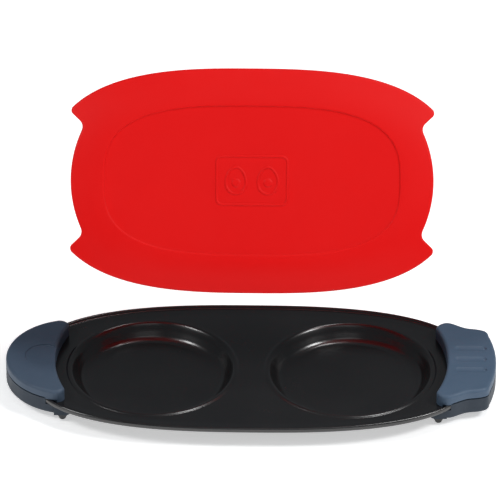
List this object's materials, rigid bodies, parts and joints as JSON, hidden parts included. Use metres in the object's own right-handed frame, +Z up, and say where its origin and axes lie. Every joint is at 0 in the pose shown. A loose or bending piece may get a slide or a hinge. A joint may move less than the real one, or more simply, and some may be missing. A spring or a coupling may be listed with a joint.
{
  "type": "egg cooker",
  "caption": "Oval egg-cooking tray with round wells, a moulded handle at each end, short feet and a loose notched lid.",
  "frame": {"origin": "on the table plane, under the middle of the tray", "axes": "+X along the tray towards the flared handle, +Y across the tray away from the user, +Z up"},
  "size_m": [0.2975, 0.1346, 0.189],
  "materials": {
    "nonstick_coat": "satin",
    "heat_layer": "matte",
    "handle_plastic": "matte",
    "screw_steel": "satin",
    "foot_rubber": "matte",
    "lid_plastic": "satin"
  },
  "bodies": {
    "base": {"pan": "nonstick_coat", "left_heat_layer": "heat_layer", "right_heat_layer": "heat_layer", "left_handle_top": "handle_plastic", "left_handle_bottom": "handle_plastic", "left_handle_screws": "screw_steel", "right_handle_top": "handle_plastic", "right_handle_bottom": "handle_plastic", "right_handle_screws": "screw_steel", "foot_front_left": "foot_rubber", "foot_rear_left": "foot_rubber", "foot_front_right": "foot_rubber", "foot_rear_right": "foot_rubber"},
    "lid": {"lid": "lid_plastic"}
  },
  "joints": [
    {"name": "lid_lift", "type": "hinge", "parent": "base", "child": "lid", "pos_m": [0, -0.097, 0.0975], "axis": [1, 0, 0], "range_deg": [-56, 0]}
  ]
}
